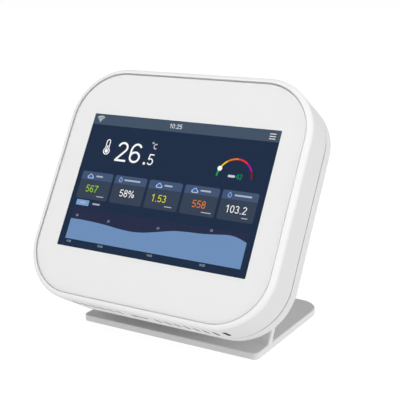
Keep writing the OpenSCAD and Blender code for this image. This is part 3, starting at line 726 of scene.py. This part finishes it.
def thermometer():
    """White outline of a thermometer, with fluid in its bulb and tube."""
    shell = Picture("thermometer_shell", LAMP_WHITE, *MARKS)
    shell.add(arc(TUBE_X, TUBE_TOP, TUBE_R, 0, 180, 10) + arc(TUBE_X, BULB_Y, BULB_R, 128, 412, 24))
    shell.make()
    core = Picture("thermometer_core", NAVY, *HOLLOW)
    core.add(arc(TUBE_X, TUBE_TOP, TUBE_HOLLOW, 0, 180, 8)
             + arc(TUBE_X, BULB_Y, BULB_HOLLOW, 119, 421, 20))
    core.make()
    fluid = Picture("thermometer_fluid", LAMP_WHITE, *FLUID)
    fluid.add(disc(TUBE_X, BULB_Y, FLUID_R))
    fluid.add(box(TUBE_X - FLUID_HALF, FLUID_TOP, TUBE_X + FLUID_HALF, BULB_Y))
    fluid.make()


GAUGE_X, GAUGE_Y, GAUGE_R, GAUGE_LINE = 68.7, 19.6, 7.2, 0.62
KNOB_ANGLE, KNOB_R = 156, 0.97
GAUGE_BANDS = [
    ("gauge_green", srgb(0, 176, 80), 180, 153),
    ("gauge_yellow", srgb(250, 200, 10), 153, 125),
    ("gauge_orange", srgb(250, 120, 5), 125, 88),
    ("gauge_red", srgb(245, 45, 50), 88, 55),
    ("gauge_magenta", srgb(180, 0, 165), 55, 27),
    ("gauge_maroon", srgb(140, 15, 10), 27, 0),
]


def gauge():
    """Half ring of six colours, with its knob, the index and a bar for its label."""
    for name, colour, start, end in GAUGE_BANDS:
        band = Picture(name, colour, *MARKS)
        band.add(arc(GAUGE_X, GAUGE_Y, GAUGE_R + GAUGE_LINE / 2, start, end, 14)
                 + arc(GAUGE_X, GAUGE_Y, GAUGE_R - GAUGE_LINE / 2, end, start, 14))
        band.make()
    knob = Picture("gauge_knob", LAMP_WHITE, *KNOB)
    knob_x, knob_y = arc(GAUGE_X, GAUGE_Y, GAUGE_R, KNOB_ANGLE, KNOB_ANGLE, 1)[0]
    knob.add(disc(knob_x, knob_y, KNOB_R))
    knob.make()
    index = Picture("index_value", GREEN, *MARKS)
    index.write("42", 69.5, GAUGE_Y + 0.4, 2.0)
    index.make()
    label = Picture("index_label", SOFT_WHITE, *MARKS)
    label.add(rounded_box(66.2, GAUGE_Y - 0.9, 69.1, GAUGE_Y, 0.3))
    label.make()


MENU_LEFT, MENU_RIGHT, MENU_TOP, MENU_PITCH, MENU_LINE = 78.8, 81.3, 1.25, 0.95, 0.26
SIGNAL_X, SIGNAL_Y, SIGNAL_LINE = 2.95, 3.2, 0.27


def status_marks():
    """The clock, the menu's three lines and the signal's arcs."""
    marks = Picture("status_marks", LAMP_WHITE, *MARKS)
    marks.write("10:25", 35.6, 3.05, 1.85, width=1.08, weight=0.095)
    for i in range(3):
        y = MENU_TOP + i * MENU_PITCH
        marks.add(box(MENU_LEFT, y, MENU_RIGHT, y + MENU_LINE))
    for radius in (0.85, 1.6, 2.35):
        marks.add(stroke(arc(SIGNAL_X, SIGNAL_Y, radius, 45, 135, 12), SIGNAL_LINE))
    marks.add(disc(SIGNAL_X, SIGNAL_Y - 0.15, 0.25))
    marks.make()


def smooth(points, steps=6):
    """Catmull-Rom curve through the points."""
    out = []
    for i in range(len(points) - 1):
        p0 = points[max(i - 1, 0)]
        p1, p2 = points[i], points[i + 1]
        p3 = points[min(i + 2, len(points) - 1)]
        for k in range(steps):
            t = k / steps
            out.append(tuple(
                0.5 * (2 * b + (c - a) * t + (2 * a - 5 * b + 4 * c - d) * t * t
                       + (3 * b - a - 3 * c + d) * t ** 3)
                for a, b, c, d in zip(p0, p1, p2, p3)))
    out.append(points[-1])
    return out


CHART_LEFT, CHART_RIGHT, CHART_TOP, CHART_FOOT = 2.6, 80.4, 39.6, 52.5

# Points along the top of the chart's area
CHART_CURVE = [
    (CHART_LEFT, 44.35), (8, 44.3), (14, 44.5), (20, 44.9), (26, 45.5), (32.5, 45.75), (38, 45.2),
    (44, 44.0), (50, 42.8), (56, 42.35), (62, 42.1), (68, 41.5), (72, 41.05), (75, 41.2),
    (77.6, 41.8), (CHART_RIGHT, 42.8),
]
PEAKS = (("26", 4.5, 43.2), ("25", 19.8, 43.7), ("24", 42.4, 43.2), ("25", 64.8, 40.8))
HOURS = (("6:00", 3.8), ("10:00", 18.5), ("14:00", 41.2), ("18:00", 63.9))
HOURS_FOOT = 53.9


def chart():
    """The temperature's area over the day, on a darker field, with numerals along it."""
    area = Picture("chart_area", CHART, *BARS)
    area.add(smooth(CHART_CURVE) + [(CHART_RIGHT, CHART_FOOT), (CHART_LEFT, CHART_FOOT)])
    area.make()
    dusk = Picture("chart_dusk", NAVY_DEEP, *DUSK)
    dusk.add(box(CHART_LEFT, CHART_TOP, CHART_RIGHT, CHART_FOOT))
    dusk.make()
    labels = Picture("chart_labels", FAINT_WHITE, *MARKS)
    for words, x, y in PEAKS:
        labels.write(words, x, y, 0.9, weight=0.16)
    for words, x in HOURS:
        labels.write(words, x, HOURS_FOOT, 0.85, weight=0.16)
    labels.make()


TAB_TOP, TAB_FOOT = 36.3, 38.55
TAB_LABEL_TOP, TAB_LABEL_FOOT = 37.1, 37.7

# Each tab: its piece, its colour, its sides, and the sides of the bar that stands for its label
TABS = [
    ("day_tab", TAB_BLUE, (2.9, 8.95), (4.6, 7.25)),
    ("hour_tab", NAVY_DEEP, (9.7, 15.5), (10.7, 14.2)),
]


def tabs():
    """The two small tabs above the chart."""
    labels = Picture("tab_labels", DIM_WHITE, *HEADS)
    for name, colour, (left, right), (label_left, label_right) in TABS:
        tab = Picture(name, colour, *BARS)
        tab.add(rounded_box(left, TAB_TOP, right, TAB_FOOT, 0.3))
        tab.make()
        labels.add(rounded_box(label_left, TAB_LABEL_TOP, label_right, TAB_LABEL_FOOT, 0.25))
    labels.make()


picture_ground()
status_marks()
big_reading()
thermometer()
gauge()
cards()
card_marks()
chart()
tabs()


# ------------------------------------------------------------------ studio

# Brightness of the surround overhead and in front, of the glow along its horizon and of its
# back, and the heights and the distance back over which one passes into the other
SURROUND, SURROUND_GLOW, SURROUND_BACK = 0.2, 0.85, 0.7
GLOW_HEIGHTS, BACK_REACH = (0.1, 0.45), (0.0, 0.5)

# Half the floor's width in metres, its tone and its own light
FLOOR_HALF, FLOOR_TONE, FLOOR_LIGHT = 6.0, 0.15, 0.9

# Point that the lights aim at, and their distance from it
LIGHT_AIM, LIGHT_DISTANCE = Vector((0, 0, 0.05)), 2.0


def floor():
    """Pale paper under the object, lit so that it stays plain."""
    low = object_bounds()[0].z
    bm = bmesh.new()
    corners = box(-FLOOR_HALF, -FLOOR_HALF, FLOOR_HALF, FLOOR_HALF)
    bm.faces.new([bm.verts.new((x, y, low)) for x, y in corners])
    mesh = bpy.data.meshes.new("floor")
    bm.to_mesh(mesh)
    bm.free()
    mat, tree, shader = new_material("floor_paper")
    shader.inputs["Base Color"].default_value = (FLOOR_TONE, FLOOR_TONE, FLOOR_TONE, 1)
    shader.inputs["Roughness"].default_value = 0.9
    shader.inputs["Emission Color"].default_value = (1, 1, 1, 1)
    shader.inputs["Emission Strength"].default_value = FLOOR_LIGHT
    mesh.materials.append(mat)
    piece = bpy.data.objects.new("floor", mesh)
    bpy.context.scene.collection.objects.link(piece)
    piece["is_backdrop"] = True


def world():
    """Dim surround with a soft glow low down all round and a brighter back."""
    w = bpy.data.worlds.new("studio")
    bpy.context.scene.world = w
    w.use_nodes = True
    tree = w.node_tree
    tree.nodes.clear()
    out = tree.nodes.new("ShaderNodeOutputWorld")
    back = tree.nodes.new("ShaderNodeBackground")
    coords = tree.nodes.new("ShaderNodeTexCoord")
    split = tree.nodes.new("ShaderNodeSeparateXYZ")
    tree.links.new(coords.outputs["Generated"], split.inputs[0])
    glow = map_range(tree, split.outputs["Z"], GLOW_HEIGHTS, (SURROUND_GLOW, SURROUND), soft_ends=True)
    wall = map_range(tree, split.outputs["Y"], BACK_REACH, (SURROUND, SURROUND_BACK), soft_ends=True)
    tree.links.new(calculate(tree, "MAXIMUM", glow, wall), back.inputs["Strength"])
    tree.links.new(back.outputs[0], out.inputs[0])


def direction(azimuth, elevation):
    """Unit vector at azimuth degrees right of the front and elevation degrees above the floor."""
    a, e = math.radians(azimuth), math.radians(elevation)
    return Vector((math.sin(a) * math.cos(e), -math.cos(a) * math.cos(e), math.sin(e)))


def soft_light(name, azimuth, elevation, size, power):
    """Square light of a size in metres, aimed at the object."""
    away = direction(azimuth, elevation)
    data = bpy.data.lights.new(name, "AREA")
    data.shape = "SQUARE"
    data.size = size
    data.energy = power
    lamp = bpy.data.objects.new(name, data)
    bpy.context.scene.collection.objects.link(lamp)
    lamp.location = LIGHT_AIM + away * LIGHT_DISTANCE
    lamp.rotation_euler = (-away).to_track_quat("-Z", "Y").to_euler()


# The view: the way it looks, in degrees, its place from the middle of the glass, and its lens
CAMERA_AZIMUTH, CAMERA_ELEVATION = 30.34, 14.16
CAMERA_OFFSET = Vector((179.0, -278.95, 79.4)) * MM
CAMERA_LENS, CAMERA_SENSOR = 81.29, 36.0
CAMERA_CLIP = (0.01, 50)


def camera():
    """View from the right and above."""
    data = bpy.data.cameras.new("camera")
    data.lens = CAMERA_LENS
    data.sensor_width = CAMERA_SENSOR
    data.clip_start, data.clip_end = CAMERA_CLIP
    view = bpy.data.objects.new("camera", data)
    bpy.context.scene.collection.objects.link(view)
    back = direction(CAMERA_AZIMUTH, CAMERA_ELEVATION)
    right = direction(CAMERA_AZIMUTH + 90, 0)
    up = back.cross(right)
    turn = Matrix((right, up, back)).transposed().to_4x4()
    view.matrix_world = Matrix.Translation(FACE_MID + CAMERA_OFFSET) @ turn
    bpy.context.scene.camera = view


floor()
world()
camera()
soft_light("key", azimuth=4, elevation=50, size=0.8, power=36)
soft_light("side_fill", azimuth=95, elevation=22, size=1.0, power=15.3)
bpy.context.scene.view_settings.view_transform = "Standard"
